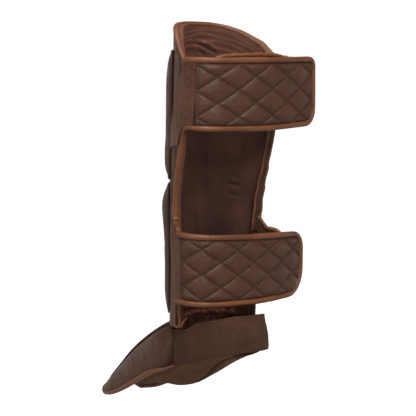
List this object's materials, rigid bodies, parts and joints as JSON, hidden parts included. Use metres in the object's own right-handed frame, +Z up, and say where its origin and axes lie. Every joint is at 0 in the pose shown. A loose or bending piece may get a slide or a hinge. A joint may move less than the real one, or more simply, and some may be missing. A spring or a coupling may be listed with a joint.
{
  "type": "shin and instep guard",
  "caption": "Padded leather shin and instep guard with quilted calf straps, elastic under-straps, heel band and sole band, standing as on a leg.",
  "frame": {"origin": "on the leg's centre line at the height of the ankle crease", "axes": "+Z up the leg, -Y to the toes, +Y to the calf, +X the side from which the wide straps come"},
  "size_m": [0.2036, 0.2972, 0.5193],
  "materials": {
    "leather": "satin",
    "pad": "satin",
    "suede": "suede",
    "binding": "satin",
    "lining": "matt cloth",
    "stretch": "matt stretch cloth"
  },
  "bodies": {
    "root": {"shin_shell": "leather", "shin_lining": "lining", "front_pad_upper": "pad", "front_pad_lower": "pad", "side_panel_upper_near": "suede", "side_panel_lower_near": "suede", "side_panel_upper_far": "suede", "side_panel_lower_far": "suede", "ankle_gather": "lining", "rim_binding": "binding", "ankle_binding": "binding", "edge_binding_near_upper": "binding", "edge_binding_near_ankle": "binding", "edge_binding_far_upper": "binding", "edge_binding_far_ankle": "binding", "upper_strap": "leather", "upper_strap_root": "suede", "upper_strap_binding": "binding", "lower_strap": "leather", "lower_strap_root": "suede", "lower_strap_binding": "binding", "upper_flap": "stretch", "upper_flap_binding_top": "binding", "upper_flap_binding_bottom": "binding", "lower_flap": "stretch", "lower_flap_binding_top": "binding", "lower_flap_binding_bottom": "binding", "instep_pad": "leather", "instep_ridge": "pad", "instep_binding": "binding", "heel_band": "stretch", "heel_band_binding": "binding", "sole_band": "stretch", "sole_band_binding_front": "binding", "sole_band_binding_rear": "binding"}
  },
  "joints": []
}
